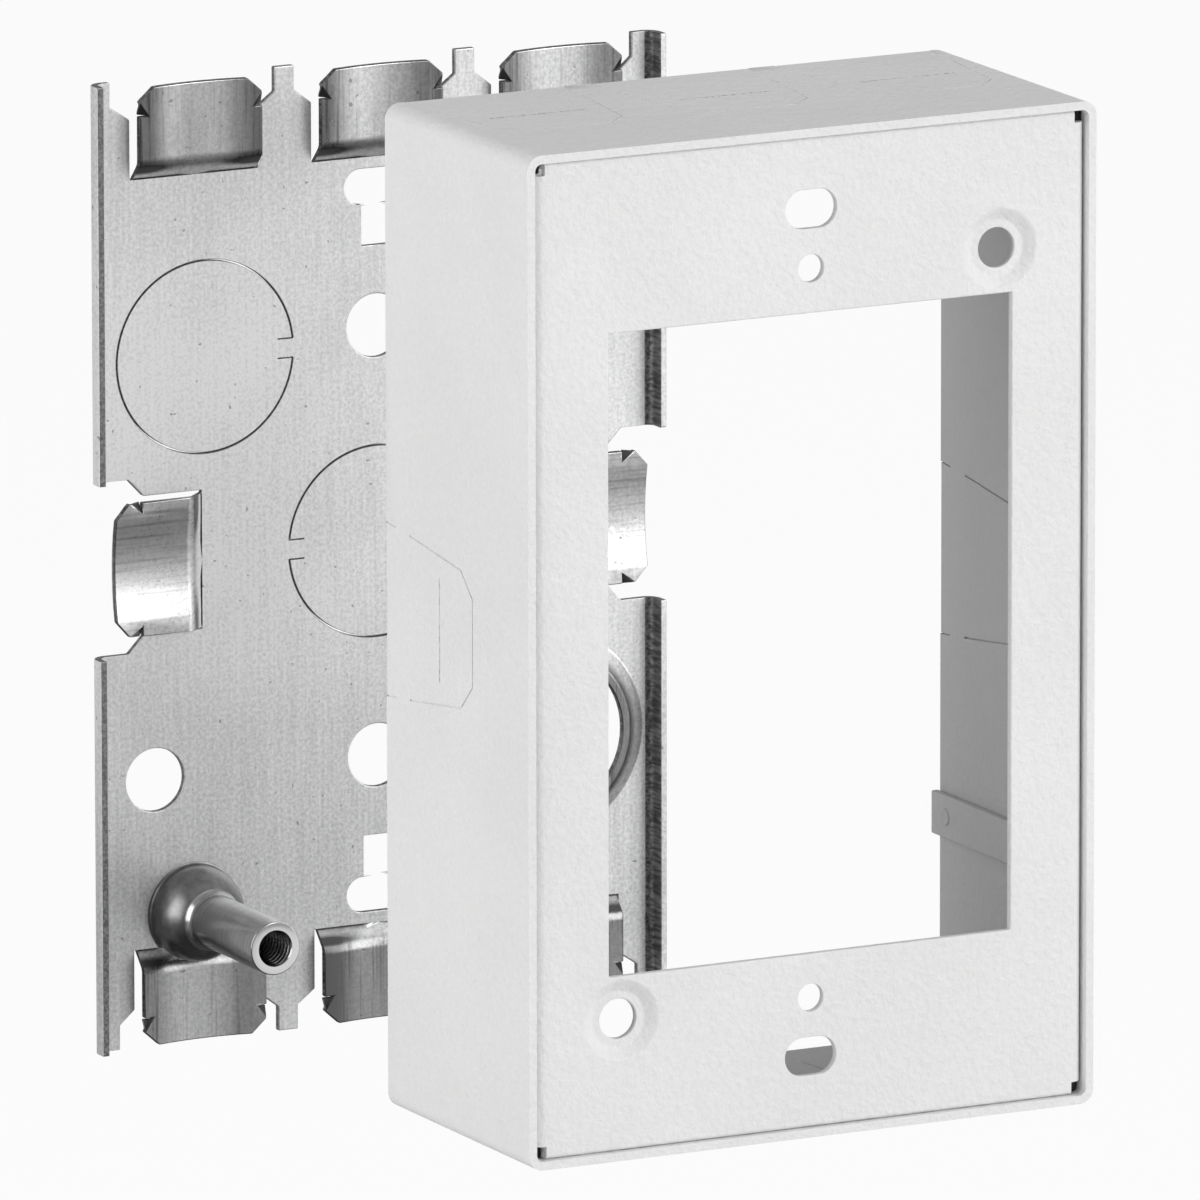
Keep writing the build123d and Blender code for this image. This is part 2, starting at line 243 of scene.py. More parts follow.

# %% [markdown]
# ## Where the press has worked the sheet
#
# The tongues are drawn over a polished die, so they are burnished. Their bends and sides are
# painted darker, as painted shade, and the three lowest get the most of it. Two round knockouts
# are sheared all round but for one tab each, and their slits are painted dark, as painted shade.
# Where the press has cut the sheet, the edge is torn and darker than the skin. A face that looks
# sideways, and isn't a flange, is such an edge, so the mask of the cut edges is read from the
# normal and the place. The front rim of the left flange and the inner face of the right flange
# are painted dark as well, as painted shade.

# %% Worked places
place_x, place_y, place_z = place.parts()
facing_x, facing_y, _ = facing_of(place).parts()

beyond_bend = abs(place_x).band(*flange_bend)
lifted = 1 - place_y.band(-2.1 * mm, -1.3 * mm)
side_tongue = 1 - abs(place_z).band(9.8 * mm, 10.2 * mm)
off_column = place_x.maths("PINGPONG", tongue_spacing / 2)
off_middle = side_tongue * abs(place_z) + (1 - side_tongue) * off_column
burnished = lifted * (1 - beyond_bend * (1 - side_tongue))
# The masks below paint shade on the tongues: one side of the side tongues, both sides of the
# others, and the most on the three lowest.
upper_side_shade = side_tongue * place_z.band(-4.0 * mm, 7.0 * mm) * 0.62
both_sides_shade = (1 - side_tongue) * off_middle.band(2.5 * mm, 7.2 * mm)
low_tongues = 1 - place_z.band(-44.0 * mm, -40.0 * mm)
low_middle = low_tongues * (1 - abs(place_x).band(10.0 * mm, 13.0 * mm))
low_tongue_shade = low_tongues * 0.30 + low_middle * 0.45
tongue_side_shade = burnished * (
    upper_side_shade + both_sides_shade * (1 - low_tongues * 0.45) + low_tongue_shade + (1 - side_tongue) * 0.14
)
# Painted shade on the risers, darkest on the upper tongues.
riser_shade = burnished * (1 - abs(facing_y).band(0.74, 0.93)) * (1 - low_tongues * 0.6)


def from_ring(centre):
    """How far a point of the plate is from the circle that is sheared about this centre."""
    off_x, off_z = place_x - centre[0], place_z - centre[1]
    return abs((off_x * off_x + off_z * off_z).maths("SQRT") - knockout_radius)


(first_x, first_z), second_centre = knockout_centres
half_tab = (1.1 * mm, 1.2 * mm)
first_tab = (1 - abs(place_z - first_z).band(*half_tab)) * place_x.band(-22.0 * mm, -21.9 * mm)
second_tab = (1 - abs(place_z).band(*half_tab)) * (1 - place_x.band(-0.1 * mm, 0.0))
nearest_ring = from_ring((first_x, first_z)).maths("MINIMUM", from_ring(second_centre))
# The slit round each knockout is painted dark, as painted shade.
groove_shade = (1 - nearest_ring.band(0.10 * mm, 0.20 * mm)) * (1 - first_tab) * (1 - second_tab)

sideways = 1 - abs(facing_y).band(0.25, 0.55)
sheared = sideways * (1 - beyond_bend * abs(facing_x).band(0.3, 0.6))
rim_depth = 1 - place_y.band(-3.22 * mm, -3.05 * mm)
flange_rim = beyond_bend * rim_depth * abs(facing_y).band(0.5, 0.8)
# Only the left flange's front rim is painted dark, as painted shade; the torn sideways edges are
# real.
left_half = 1 - place_x.band(-10.0 * mm, 10.0 * mm)
cut_edge = (sheared + flange_rim * left_half).maths("MINIMUM", 1.0)
# The right flange's inner face is painted near black, as painted shade.
right_flange_shade = place_x.band(34.75 * mm, 34.9 * mm) * (facing_x * -1.0).band(0.06, 0.25)
print("masks for tongues, knockouts and cut edges")

# %% [markdown]
# ## Tone of the zinc
#
# The masks now choose between a few greys. The skin is painted brightest in a broad band across
# the middle of the plate, a painted reflection. Over it lie, in turn, the painted shade of the
# tongues, the dark specks, the painted shade in the slits, the bright pits, and last the torn
# grey of the cut edges, with the painted shade of the right flange.

# %% Zinc tone
torn = place.node("ShaderNodeMapping", Vector=place, Scale=(2400.0, 260.0, 2400.0))
tearing = place.node("ShaderNodeTexNoise", Vector=torn, Scale=1.0, Detail=3.0, Roughness=0.65)
# A broad bright band across the middle, painted light that stands for a reflection.
painted_glow_band = (
    place_z.band(-40.0 * mm, -2.0 * mm)
    * (1 - place_z.band(22.0 * mm, 52.0 * mm) * 0.5)
    * (1 - place_x.band(-20.0 * mm, 20.0 * mm) * 0.7)
)
grain_tone = (
    mottle.band(0.32, 0.68) * 0.40 + clouds.band(0.3, 0.7) * 0.15 + lines.band(0.3, 0.7) * 0.15
)
skin = (grain_tone + painted_glow_band * 0.58).mix((0.48, 0.483, 0.487, 1), (0.98, 0.98, 0.98, 1))
drawing = side_tongue * drawn + (1 - side_tongue) * lines
streaks = burnished * drawing.band(0.45, 0.75) * 0.28
# Painted shade of the tongues, with their real drawing streaks.
shade = (tongue_side_shade * 0.72 + streaks + riser_shade * 0.9).maths("MINIMUM", 1.0)
shaded = shade.mix(skin, (0.13, 0.13, 0.132, 1))
spotted_and_groove_shade = (specks * 0.55).maths("MAXIMUM", groove_shade * 0.8).mix(shaded, (0.10, 0.10, 0.105, 1))
pitted = (pit_mask * 0.8).mix(spotted_and_groove_shade, (0.93, 0.93, 0.93, 1))
edge_tone = tearing.band(0.35, 0.7).mix((0.07, 0.07, 0.072, 1), (0.30, 0.30, 0.305, 1))
zinc_height = (
    mottle * 0.8 + lines * 0.25 - pit_mask * 0.6 - specks * 0.4 + cut_edge * tearing * 1.6
)
zinc_bump = place.node("ShaderNodeBump", Strength=0.6, Distance=0.03 * mm, Height=zinc_height)
feed(
    zinc_shader,
    Base_Color=(cut_edge * 0.9).maths("MAXIMUM", right_flange_shade * 0.97).mix(pitted, edge_tone),
    Roughness=0.30 + clouds * 0.10 + mottle * 0.08 + cut_edge * 0.15 - burnished * 0.10,
    Metallic=0.70 + burnished * 0.25,
    Normal=zinc_bump,
)
print(zinc.name, "finish with", len(zinc.node_tree.nodes), "nodes")

# %% [markdown]
# ## Pressed and plated steel
#
# The two domes are stretched by the punch until the zinc is smooth and shinier than the sheet,
# and they are coloured darker than the sheet, as painted shade. The posts are turned and plated,
# with fine lines round the axis, and their end face is painted brighter, as painted light. Both
# are small round forms whose look is all reflection.

# %% Pressed and plated steel
pressed, pressed_shader, place = new_material("pressed_zinc")
stretch = place.node("ShaderNodeTexNoise", Vector=place, Scale=700.0, Detail=3.0, Roughness=0.6)
pressed_bump = place.node("ShaderNodeBump", Strength=0.3, Distance=0.02 * mm, Height=stretch)
# The darker grey of the domes is painted shade.
feed(
    pressed_shader,
    Base_Color=stretch.band(0.3, 0.7).mix((0.20, 0.20, 0.203, 1), (0.30, 0.30, 0.303, 1)),
    Roughness=0.28 + stretch * 0.10,
    Normal=pressed_bump,
)
pressed_shader.inputs["Metallic"].default_value = 1.0

plating, plating_shader, place = new_material("plated_post")
round_post = place.node("ShaderNodeMapping", Vector=place, Scale=(240.0, 5200.0, 240.0))
turning = place.node("ShaderNodeTexNoise", Vector=round_post, Scale=1.0, Detail=2.0)
smear = place.node("ShaderNodeTexNoise", Vector=place, Scale=420.0, Detail=2.0)
side_tone = (turning.band(0.3, 0.7) * 0.6 + smear * 0.4).mix(
    (0.36, 0.36, 0.363, 1), (0.54, 0.54, 0.545, 1)
)
# The end face of each post is painted brighter, as painted light.
painted_lit_end = facing_of(place).parts()[1] * -1.0
plating_bump = place.node("ShaderNodeBump", Strength=0.35, Distance=0.02 * mm, Height=turning)
feed(
    plating_shader,
    Base_Color=painted_lit_end.band(0.90, 0.98).mix(side_tone, (0.80, 0.80, 0.805, 1)),
    Roughness=0.15 + smear * 0.10,
    Normal=plating_bump,
)
plating_shader.inputs["Metallic"].default_value = 1.0
for finish in (pressed, plating):
    print(finish.name, "finish with", len(finish.node_tree.nodes), "nodes")

# %% [markdown]
# ## Soft edges on the stamped parts
#
# No edge of a pressed or painted part is a knife edge: each one catches a thin line of light. A
# CAD node's mesh is never changed, so we copy it, join its loose triangles, make its flat faces
# whole again, and bevel the copy. A Bevel modifier takes one width, so narrow places such as the
# sheared slits would be eaten up. Each edge therefore carries a weight: the rounding that it is
# to have, and, unless that is wanted at any price, no more than a share of the shortest edge
# that meets it.

# %% Softened copies
least_corner = math.radians(27)
share_of_room = 0.4
ample_room = 1.0


def clean_shell(name):
    """The node's mesh with its loose triangles joined and its flat faces whole, as a bmesh."""
    shell = bmesh.new()
    shell.from_mesh(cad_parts[name].data)
    bmesh.ops.remove_doubles(shell, verts=shell.verts, dist=2e-6)
    bmesh.ops.dissolve_limit(
        shell, angle_limit=math.radians(0.4), verts=shell.verts, edges=shell.edges
    )
    bmesh.ops.recalc_face_normals(shell, faces=shell.faces)
    return shell


def placed(name, data):
    """A new object for a mesh, lamp or camera, linked to the scene."""
    piece = bpy.data.objects.new(name, data)
    bpy.context.scene.collection.objects.link(piece)
    return piece


def baked(piece):
    """The mesh that an object's modifiers give, in place of its own. The modifiers go."""
    bpy.context.view_layer.update()
    graph = bpy.context.evaluated_depsgraph_get()
    mesh = bpy.data.meshes.new_from_object(piece.evaluated_get(graph))
    piece.modifiers.clear()
    piece.data = mesh
    return mesh


def softened(name, node, body, finish, widest, rounding):
    """A bevelled copy of a CAD node that takes the node's place.

    rounding(edge) gives the width wanted and whether it holds at any price.
    """
    shell = clean_shell(node)
    weight = shell.edges.layers.float.new("bevel_weight_edge")
    for edge in shell.edges:
        if len(edge.link_faces) != 2 or edge.calc_face_angle() < least_corner:
            continue
        wanted, at_any_price = rounding(edge)
        near = [other for vert in edge.verts for other in vert.link_edges if other != edge]
        room = ample_room if at_any_price else min(other.calc_length() for other in near)
        edge[weight] = min(wanted, share_of_room * room) / widest
    mesh = bpy.data.meshes.new(name)
    shell.to_mesh(mesh)
    shell.free()
    piece = placed(name, mesh)
    bevel = piece.modifiers.new("edges", "BEVEL")
    bevel.width = widest
    bevel.segments = 3
    bevel.limit_method = "WEIGHT"
    bevel.use_clamp_overlap = False
    finished = baked(piece)
    low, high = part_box(node)
    for vert in finished.vertices:
        vert.co = [min(max(v, a), b) for v, a, b in zip(vert.co, low, high)]
    finished.shade_smooth()
    finished.set_sharp_from_angle(angle=math.radians(50))
    weighted = piece.modifiers.new("flat faces stay flat", "WEIGHTED_NORMAL")
    weighted.keep_sharp = True
    finished.materials.clear()
    finished.materials.append(finish)
    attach(piece, body)
    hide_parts(node)
    finished.calc_loop_triangles()
    print(name, len(finished.loop_triangles), "triangles")


# %% [markdown]
# ## The stamped plate
#
# The tongues are bent over a rounded die, so their bends get the widest rounding. The sheared
# outline is only broken by a hair, and the slits of the knockouts hardly at all. The domes get
# none here, because finer ones cover them later.

# %% Base plate
bend_rounding, outline_rounding, slit_rounding = 0.7 * mm, 0.15 * mm, 0.03 * mm
bend_heights = (45.45 * mm, 47.55 * mm)
bend_sides = (22.55 * mm, 24.65 * mm)
bend_reach = 0.3 * mm
least_bend, most_bend = math.radians(30), math.radians(55)
slit_inner, slit_outer = 8.8 * mm, 11.9 * mm
dome_reach = 6.0 * mm


def at_tongue_bend(edge, spot):
    """Whether the edge runs along a bend of a tongue, in front of the plate's back."""
    if not least_bend < edge.calc_face_angle() < most_bend or spot.y >= -0.5 * mm:
        return False
    along = (edge.verts[0].co - edge.verts[1].co).normalized()
    at_height = any(abs(abs(spot.z) - level) < bend_reach for level in bend_heights)
    at_side = any(abs(abs(spot.x) - level) < bend_reach for level in bend_sides)
    return (at_height and abs(along.z) < 0.2) or (at_side and abs(along.x) < 0.2)


def plate_edge(edge):
    """Wide at the bends of the tongues, fine elsewhere, least at the knockouts, none on domes."""
    spot = (edge.verts[0].co + edge.verts[1].co) / 2
    if at_tongue_bend(edge, spot):
        return bend_rounding, True
    for x, z in knockout_centres:
        if slit_inner < math.hypot(spot.x - x, spot.z - z) < slit_outer:
            return slit_rounding, False
    for x, z in post_spots.values():
        if math.hypot(spot.x - x, spot.z - z) < dome_reach:
            return 0.0, False
    return outline_rounding, False


softened(
    "stamped_plate", "base_plate", "base", zinc, bend_rounding, plate_edge
)

# %% [markdown]
# ## The cover
#
# The cover is a band of four walls with a tray let into its front. The melted powder rounds the
# band's two rims and every edge of the tray. The mouths of the slits in the band stay sharp,
# because a rounding as wide as a slit would turn its faces over.

# %% Cover band and front tray
rim_rounding, tray_rounding = 0.22 * mm, 0.18 * mm
shortest_rim = 1.0 * mm
band_low, band_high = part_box("wall_band")


def band_edge(edge):
    """The rims at the open rear and at the front, but not the mouths of the slits."""
    rims = band_low.y, band_high.y
    at_rim = any(all(abs(vert.co.y - rim) < 0.05 * mm for vert in edge.verts) for rim in rims)
    return (rim_rounding if at_rim and edge.calc_length() > shortest_rim else 0.0), False


def tray_edge(edge):
    """The same narrow rounding all over."""
    return tray_rounding, False


softened("band_walls", "wall_band", "cover", enamel, rim_rounding, band_edge)
softened("front_tray", "face_tray", "cover", enamel, tray_rounding, tray_edge)

# %% [markdown]
# ## Paint in the seams
#
# The knockouts are sheared right through the walls, and the powder bridges the slits, so that
# outside they show as shallow grooves. A thin white sleeve inside the thickness of the walls
# stands for that film: it shows nowhere but at the bottom of the slits. The sleeve is four loops
# of points with faces between them, and so are the turned forms further on, so the cell also
# makes the two helpers that they share.


# %% Seam film
def bridge(shell, rings):
    """Faces from each ring of points to the next. A ring of one point closes a cap."""
    for one, other in zip(rings, rings[1:]):
        steps = max(len(one), len(other))
        for step in range(steps):
            after = (step + 1) % steps
            if len(one) == 1:
                shell.faces.new((one[0], other[step], other[after]))
            elif len(other) == 1:
                shell.faces.new((one[step], one[after], other[0]))
            else:
                shell.faces.new((one[step], one[after], other[after], other[step]))


def from_shell(name, shell, finish):
    """Turns a bmesh into an object with one finish, its faces looking outwards."""
    bmesh.ops.recalc_face_normals(shell, faces=shell.faces)
    mesh = bpy.data.meshes.new(name)
    shell.to_mesh(mesh)
    shell.free()
    mesh.materials.append(finish)
    print(name, len(mesh.polygons), "faces")
    return placed(name, mesh)


def rounded_loop(half_width, half_height, radius, steps=6):
    """Points round a rectangle with rounded corners, about the cover's own middle."""
    points = []
    for sign_x, sign_z, start in ((1, 1, 0), (-1, 1, 90), (-1, -1, 180), (1, -1, 270)):
        for step in range(steps + 1):
            angle = math.radians(start + 90 * step / steps)
            x = sign_x * (half_width - radius) + radius * math.cos(angle)
            z = sign_z * (half_height - radius) + radius * math.sin(angle)
            points.append((x, z))
    return points


film_outer, film_inner = 0.16 * mm, 0.60 * mm
band_corner = 1.8 * mm
centre_z = (band_low.z + band_high.z) / 2
half_x, half_z = (band_high.x - band_low.x) / 2, (band_high.z - band_low.z) / 2
film_rear, film_front = band_high.y - 0.2 * mm, band_low.y + 0.2 * mm
film_shell = bmesh.new()
loops = []
for inset, film_depth in (
    (film_outer, film_rear),
    (film_outer, film_front),
    (film_inner, film_front),
    (film_inner, film_rear),
):
    outline = rounded_loop(half_x - inset, half_z - inset, band_corner - inset)
    loops.append([film_shell.verts.new((x, film_depth, centre_z + z)) for x, z in outline])
bridge(film_shell, loops + loops[:1])
film = from_shell("seam_film", film_shell, enamel)
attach(film, "cover")

# %% [markdown]
# ## Painted shadow in the corners of the tray
#
# Each corner of the tray has a small square relief, and behind it the two folded flanges nearly
# meet. That pocket lies in deep shade, so a near-black painted shadow stands there: a small
# bevelled block in each corner, just behind the face.

# %% Painted shadow in the corners
# Near-black colour with a faint noise, a painted shadow.
corner_shadow_finish, corner_shadow_shader, place = new_material("bare_steel")
shadow_noise = place.node("ShaderNodeTexNoise", Vector=place, Scale=1500.0, Detail=3.0)
feed(
    corner_shadow_shader,
    Base_Color=shadow_noise.mix((0.012, 0.012, 0.012, 1), (0.035, 0.035, 0.035, 1)),
    Roughness=0.6 + shadow_noise * 0.2,
)
block_width, block_thickness = 1.40 * mm, 0.6 * mm
block_inset, block_behind = 0.72 * mm, 1.6 * mm
tray_low, tray_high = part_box("face_tray")
block_shell = bmesh.new()
for corner_x, sign_x in ((tray_low.x, 1), (tray_high.x, -1)):
    for corner_z, sign_z in ((tray_low.z, 1), (tray_high.z, -1)):
        made = bmesh.ops.create_cube(block_shell, size=1.0)
        for vert in made["verts"]:
            vert.co.x = corner_x + sign_x * (block_inset + block_width * vert.co.x)
            vert.co.z = corner_z + sign_z * (block_inset + block_width * vert.co.z)
            vert.co.y = tray_low.y + block_behind + block_thickness * vert.co.y
bmesh.ops.bevel(block_shell, geom=block_shell.edges[:], offset=0.12 * mm, segments=2, affect="EDGES")
shadow_blocks = from_shell("corner_tabs", block_shell, corner_shadow_finish)
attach(shadow_blocks, "cover")

# %% [markdown]
# ## Turned forms
#
# The domes and the posts are round about an axis that points out of the wall. In the CAD model a
# dome is a few straight strips, which is enough to weigh and to collide, but a shiny surface
# shows every strip. Here each is turned from a fine profile of radius and depth, in millimetres.


# %% Turning a profile
def turned(name, profile, centre, finish, body, turns=96):
    """A solid of revolution about the line along Y through centre = (x, z).

    The profile starts and ends on that line.
    """
    shell = bmesh.new()
    rings = []
    for radius, depth in profile:
        ring = []
        for step in range(turns if radius > 0 else 1):
            angle = 2 * math.pi * step / turns
            x = centre[0] + radius * mm * math.cos(angle)
            z = centre[1] + radius * mm * math.sin(angle)
            ring.append(shell.verts.new((x, depth * mm, z)))
        rings.append(ring)
    bridge(shell, rings)
    piece = from_shell(name, shell, finish)
    piece.data.shade_smooth()
    piece.data.set_sharp_from_angle(angle=math.radians(32))
    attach(piece, body)
    return piece


def arc(centre, radius, start, end, steps):
    """Points of an arc in the profile's plane, angles in degrees from outward towards the wall."""
    points = []
    for step in range(steps + 1):
        angle = math.radians(start + (end - start) * step / steps)
        points.append((centre[0] + radius * math.cos(angle), centre[1] + radius * math.sin(angle)))
    return points


# %% [markdown]
# ## Domes
#
# A dome's outline starts at its top, runs down the outer curve to the small hollow fillet that
# the press leaves at the foot, and comes back on the inner curve. The new skin lies within the
# thickness of the sheet.

# %% Domes
dome_top = -5.757
dome_skin = (
    [(0.0, dome_top), (3.0, dome_top)]
    + arc((0.0, -1.5), 5.625, -49.2, -3, 22)
    + arc((5.97, -1.20), 0.34, 180, 88, 5)
)
dome_lining = [(5.97, -0.5), (5.25, -0.5)] + arc((0.0, -1.5), 5.25, 0, -46, 10) + [(0.0, -5.40)]
for corner, spot in post_spots.items():
    turned("dome_" + corner, dome_skin + dome_lining, spot, pressed, "base")

# %% [markdown]
# ## Posts
#
# Each post is a plain tube with a flared foot, a broken outer edge at its end and a small
# countersink at the mouth of its bore. It takes the place of the CAD post.

# %% Posts
post_foot, post_end = -5.60, -22.1
mouth_radius, bore_radius = 2.05, 2.42
post_outline = (
    [(0.0, post_foot), (3.60, post_foot)]
    + arc((4.65, -6.898), 1.5, 130.8, 180, 8)
    + arc((3.0, -21.95), 0.15, 0, -90, 4)
    + [(2.16, post_end), (mouth_radius, -21.95), (mouth_radius, -21.7)]
    + [(bore_radius, -21.4), (bore_radius, -6.9), (0.0, -6.3)]
)
for corner, spot in post_spots.items():
    post = turned("turned_post_" + corner, post_outline, spot, plating, "base")
    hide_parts("post_" + corner)

# %% [markdown]
# ## Threads
#
# The bores are tapped. A thread is one profile that follows a helix, which is exactly what Curve
# to Mesh does, so a small Geometry Nodes tree makes it. The sizes are inputs of the tree, and the
# result is turned into a plain mesh, because an export keeps no live tree.


# %% Thread tree
def thread_tree():
    """A ridge of four sides that winds round an axis along Y, with its sizes as inputs."""
    tree = bpy.data.node_groups.new("thread", "GeometryNodeTree")
    tree.interface.new_socket("Geometry", in_out="OUTPUT", socket_type="NodeSocketGeometry")
    for label, kind in (
        ("Pitch", "NodeSocketFloat"),
        ("Turns", "NodeSocketFloat"),
        ("Bore Radius", "NodeSocketFloat"),
        ("Ridge Height", "NodeSocketFloat"),
        ("Start", "NodeSocketVector"),
        ("Finish", "NodeSocketMaterial"),
    ):
        tree.interface.new_socket(label, in_out="INPUT", socket_type=kind)
    given = tree.nodes.new("NodeGroupInput")
    result = tree.nodes.new("NodeGroupOutput")
    length = tree.nodes.new("ShaderNodeMath")
    length.operation = "MULTIPLY"
    tree.links.new(given.outputs["Pitch"], length.inputs[0])
    tree.links.new(given.outputs["Turns"], length.inputs[1])
    helix = tree.nodes.new("GeometryNodeCurveSpiral")
    helix.inputs["Resolution"].default_value = 40
    tree.links.new(given.outputs["Turns"], helix.inputs["Rotations"])
    tree.links.new(given.outputs["Bore Radius"], helix.inputs["Start Radius"])
    tree.links.new(given.outputs["Bore Radius"], helix.inputs["End Radius"])
    tree.links.new(length.outputs[0], helix.inputs["Height"])
    upright = tree.nodes.new("GeometryNodeSetCurveNormal")
    upright.mode = "Z_UP"
    tree.links.new(helix.outputs["Curve"], upright.inputs["Curve"])
    ridge = tree.nodes.new("GeometryNodeCurvePrimitiveCircle")
    ridge.inputs["Resolution"].default_value = 4
    tree.links.new(given.outputs["Ridge Height"], ridge.inputs["Radius"])
    sweep = tree.nodes.new("GeometryNodeCurveToMesh")
    sweep.inputs["Fill Caps"].default_value = True
    tree.links.new(upright.outputs["Curve"], sweep.inputs["Curve"])
    tree.links.new(ridge.outputs["Curve"], sweep.inputs["Profile Curve"])
    stand = tree.nodes.new("GeometryNodeTransform")
    stand.inputs["Rotation"].default_value = (math.radians(90), 0, 0)
    tree.links.new(sweep.outputs["Mesh"], stand.inputs["Geometry"])
    tree.links.new(given.outputs["Start"], stand.inputs["Translation"])
    real = tree.nodes.new("GeometryNodeRealizeInstances")
    tree.links.new(stand.outputs["Geometry"], real.inputs["Geometry"])
    paint = tree.nodes.new("GeometryNodeSetMaterial")
    tree.links.new(real.outputs["Geometry"], paint.inputs["Geometry"])
    tree.links.new(given.outputs["Finish"], paint.inputs["Material"])
    tree.links.new(paint.outputs["Geometry"], result.inputs["Geometry"])
    return tree


def grown(name, tree, body, slot, **sizes):
    """Runs a tree with these inputs and keeps the result as a plain mesh."""
    piece = placed(name, bpy.data.meshes.new(name))
    modifier = piece.modifiers.new("grow", "NODES")
    modifier.node_group = tree
    for socket in tree.interface.items_tree:
        key = socket.name.replace(" ", "_")
        if socket.in_out == "INPUT" and key in sizes:
            modifier[socket.identifier] = sizes[key]
    print(name, len(baked(piece).polygons), "faces")
    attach(piece, body)


# %% Threads
thread = thread_tree()
thread_start = -8.2 * mm
for corner, (x, z) in post_spots.items():
    grown(
        "thread_" + corner,
        thread,
        "base",
        "plated_post",
        Pitch=0.79 * mm,
        Turns=16.5,
        Bore_Radius=2.40 * mm,
        Ridge_Height=0.36 * mm,
        Start=(x, thread_start, z),
        Finish=plating,
    )

# %% [markdown]
# ## Spot welds
#
# Each leg of the tray is welded to the band at one spot, and the electrode leaves a small round
# dent with a raised lip, softened by the paint. The profile is a radius and a height above the
# leg, in millimetres, swept round an axis that points across the cover.

# %% Spot welds
lip = [(0.0, 0.02), (0.55, 0.03), (0.72, 0.14), (0.88, 0.17), (1.0, 0.10)]
lip += [(1.1, -0.05), (0.0, -0.05)]
weld_depth, weld_turns = -77.5, 32
for name, leg_x, side, weld_height in (
    ("weld_right", 33.85, 1, -21.08),
    ("weld_left", -33.85, -1, 40.52),
):
    shell = bmesh.new()
    rings = []
    for radius, rise in lip:
        ring = []
        for step in range(weld_turns if radius > 0 else 1):
            angle = 2 * math.pi * step / weld_turns
            y = weld_depth + radius * math.cos(angle)
            z = weld_height + radius * math.sin(angle)
            ring.append(shell.verts.new(((leg_x - side * rise) * mm, y * mm, z * mm)))
        rings.append(ring)
    bridge(shell, rings)
    weld = from_shell(name, shell, enamel)
    weld.data.shade_smooth()
    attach(weld, "cover")

# %% [markdown]
# ## Floor
#
# The object is photographed on white. The floor is a plain pale sheet far enough below for the
# shadow to be soft. To the camera it glows nearly white. Mirror rays pass through it, because the
# object stands far above it.

# %% Floor
floor_mesh = bpy.data.meshes.new("floor")
reach = 6.0
floor_height = cad_low.z - 90.0 * mm
corners = [(-reach, -reach), (reach, -reach), (reach, reach), (-reach, reach)]
floor_mesh.from_pydata([(x, y, floor_height) for x, y in corners], [], [(0, 1, 2, 3)])
floor = placed("floor", floor_mesh)
paper, paper_shader, place = new_material("paper")
paper_shader.inputs["Base Color"].default_value = (0.9, 0.9, 0.9, 1)
paper_shader.inputs["Roughness"].default_value = 0.9
glow = place.node("ShaderNodeEmission")
clear = place.node("ShaderNodeBsdfTransparent")
light_path = place.node("ShaderNodeLightPath").socket.node
seen = Value(place.tree, light_path.outputs["Is Camera Ray"]) * 0.92
mirrored = Value(place.tree, light_path.outputs["Is Glossy Ray"])
matt = Value(place.tree, paper_shader.outputs[0])
white_floor = place.node("ShaderNodeMixShader", i0=seen, i1=matt, i2=glow)
open_floor = place.node("ShaderNodeMixShader", i0=mirrored, i1=white_floor, i2=clear)
place.tree.links.new(open_floor.socket, place.tree.nodes["Material Output"].inputs[0])
floor_mesh.materials.append(paper)
print("floor", round(1000 * floor_height, 1), "mm from the plate's middle")

# %% [markdown]
# ## Background
#
# The world is white to the camera. Bare metal shows whatever stands round it, so for glossy rays
# the world is the studio itself: a wide white panel in front to the right, pale walls, a dim
# ground, and the dark side of the room where the camera stands. Matt surfaces get an even, weak
# light from all round.

# %% World
world = bpy.data.worlds.new("studio")
bpy.context.scene.world = world
world.use_nodes = True
world_tree = world.node_tree
background = world_tree.nodes["Background"]
world_path = world_tree.nodes.new("ShaderNodeLightPath")
to_camera = Value(world_tree, world_path.outputs["Is Camera Ray"])
to_mirror = Value(world_tree, world_path.outputs["Is Glossy Ray"])
to_glass = Value(world_tree, world_path.outputs["Is Transmission Ray"])
toward = Value(world_tree, world_tree.nodes.new("ShaderNodeTexCoord").outputs["Generated"])


def near_direction(direction, far, close):
    """0 to 1 as a ray's direction turns towards this one, by the cosine between them."""
    aim = Vector(direction).normalized()
    cosine = toward.node(
        "ShaderNodeVectorMath", {"operation": "DOT_PRODUCT"}, output=1, i0=toward, i1=aim
    )
    return cosine.band(far, close)


panel = near_direction((0.45, -0.87, -0.10), 0.68, 0.95)
overhead = near_direction((0.35, -0.55, 0.75), 0.80, 0.95)
dark_room = near_direction((-0.52, -0.85, -0.05), 0.55, 0.93)
underneath = near_direction((0.0, 0.0, -1.0), 0.30, 0.70)
lit = 0.46 + panel * 0.36 + overhead * 0.10
studio = lit * (1 - dark_room * 0.86) * (1 - underneath * 0.8)
shown = to_camera.maths("MAXIMUM", to_glass)
even_light = 0.40
strength = shown + (1 - shown) * (to_mirror * studio + (1 - to_mirror) * even_light)
world_tree.links.new(strength.socket, background.inputs["Strength"])
background.inputs["Color"].default_value = (1, 1, 1, 1)
print("world with", len(world_tree.nodes), "nodes")

# %% [markdown]
# ## Studio light
#
# A large soft key from the right and above models the domes. A fill from the left keeps the side
# wall of the cover bright. Both stay weak enough that the white front doesn't clip.


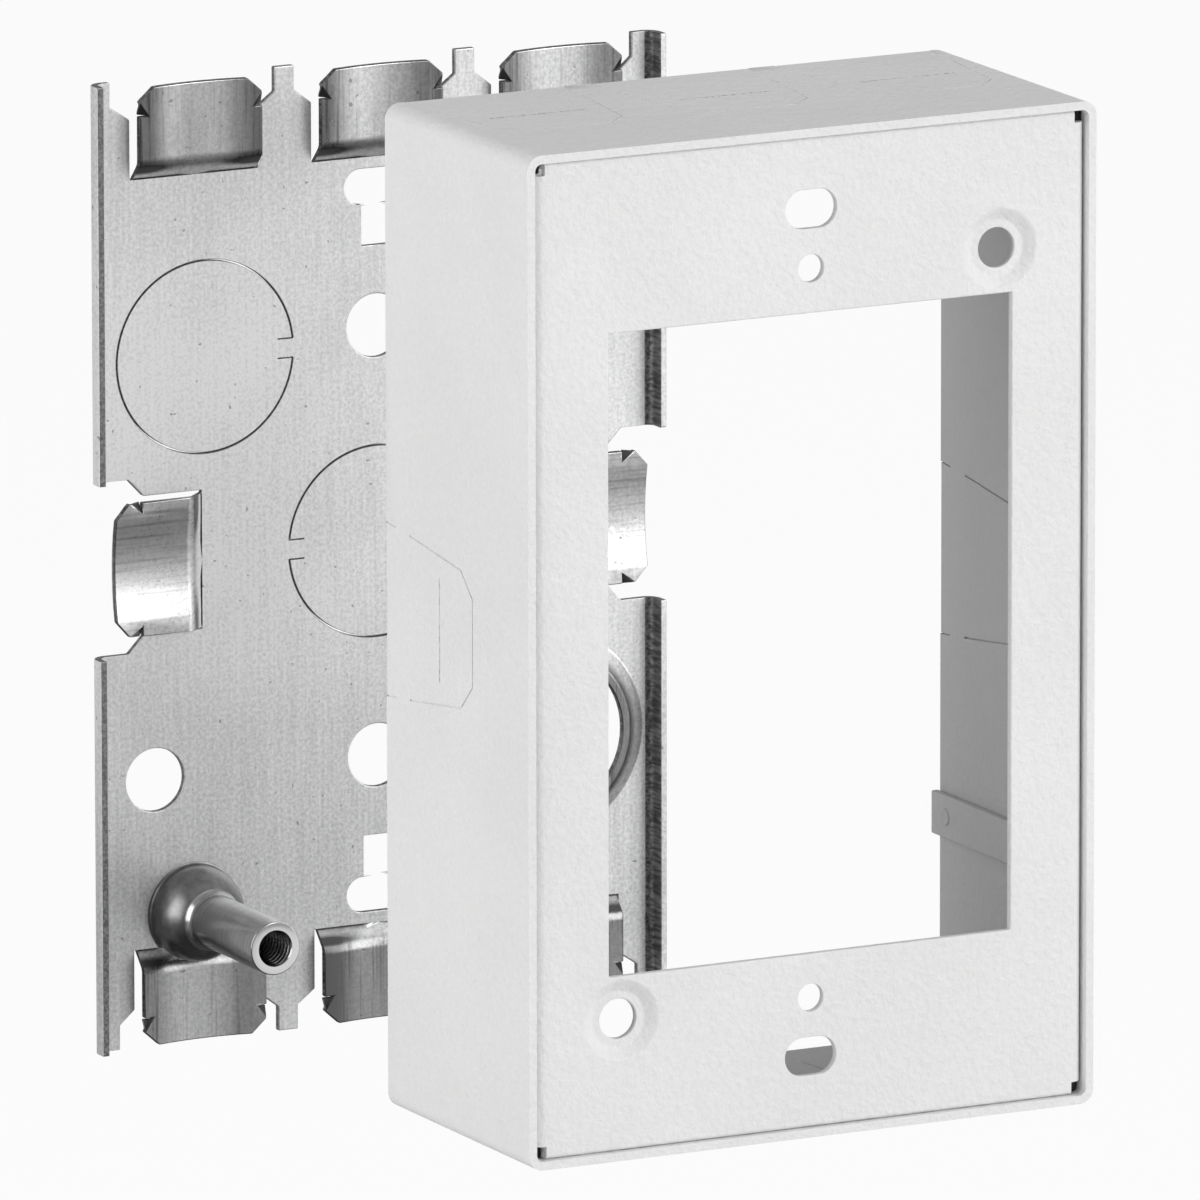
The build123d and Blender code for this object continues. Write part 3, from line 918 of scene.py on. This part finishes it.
# %% Soft boxes
def soft_box(name, place, aim, size, power):
    """A square area lamp at a place, turned to face a point."""
    lamp = bpy.data.lights.new(name, "AREA")
    lamp.shape = "RECTANGLE"
    lamp.size = lamp.size_y = size
    lamp.energy = power
    holder = placed(name, lamp)
    holder.location = place
    holder.rotation_euler = (Vector(aim) - Vector(place)).to_track_quat("-Z", "Y").to_euler()
    print(name, "lamp of", power, "W")


middle = (0.0, -0.06, 0.0)
soft_box("key", (0.88, -1.23, 0.55), middle, 1.2, 14.5)
soft_box("fill", (-1.35, -0.10, 0.42), middle, 1.2, 10.0)

# %% [markdown]
# ## Camera
#
# The camera stands far back with a long lens, as for a catalogue picture, and nearly all upright
# lines stay upright. Its place was worked out from the cover's known hole spacings: it looks at
# the front from the left and a little above. The lens axis misses the cover's centre by a few
# millimetres, which two small shifts of the sensor and of the camera take up.

# %% Camera
azimuth, elevation, roll = (math.radians(v) for v in (-27.3947, 12.2415, -0.0568))
front_centre = Vector((0.0, -109.4 * mm, cover_rise))
distance, shift_right, shift_up = 2.4, 0.0200537, -0.0033348
focal_pixels, frame_pixels = 21498.55, 1200.0
principal = (633.924, 605.479)
sensor_width = 36.0

back = Vector(
    (
        math.sin(azimuth) * math.cos(elevation),
        -math.cos(azimuth) * math.cos(elevation),
        math.sin(elevation),
    )
)
right = Vector((math.cos(azimuth), math.sin(azimuth), 0.0))
up = back.cross(right)
rolled_right = right * math.cos(roll) + up * math.sin(roll)
rolled_up = up * math.cos(roll) - right * math.sin(roll)
eye = front_centre + back * distance - rolled_right * shift_right - rolled_up * shift_up

lens = bpy.data.cameras.new("camera")
lens.sensor_fit = "HORIZONTAL"
lens.sensor_width = sensor_width
lens.lens = sensor_width * focal_pixels / frame_pixels
lens.shift_x = (frame_pixels / 2 - principal[0]) / frame_pixels
lens.shift_y = (principal[1] - frame_pixels / 2) / frame_pixels
lens.clip_start, lens.clip_end = 0.1, 20.0
camera = placed("camera", lens)
turn = Matrix((rolled_right, rolled_up, back)).transposed().to_4x4()
camera.matrix_world = Matrix.Translation(eye) @ turn
bpy.context.scene.camera = camera
print("camera at", [round(1000 * v, 1) for v in eye], "mm, lens", round(lens.lens, 1), "mm")

# %% [markdown]
# ## Finish
#
# Colours leave as written.

# %% Finish
bpy.context.scene.view_settings.view_transform = "Standard"
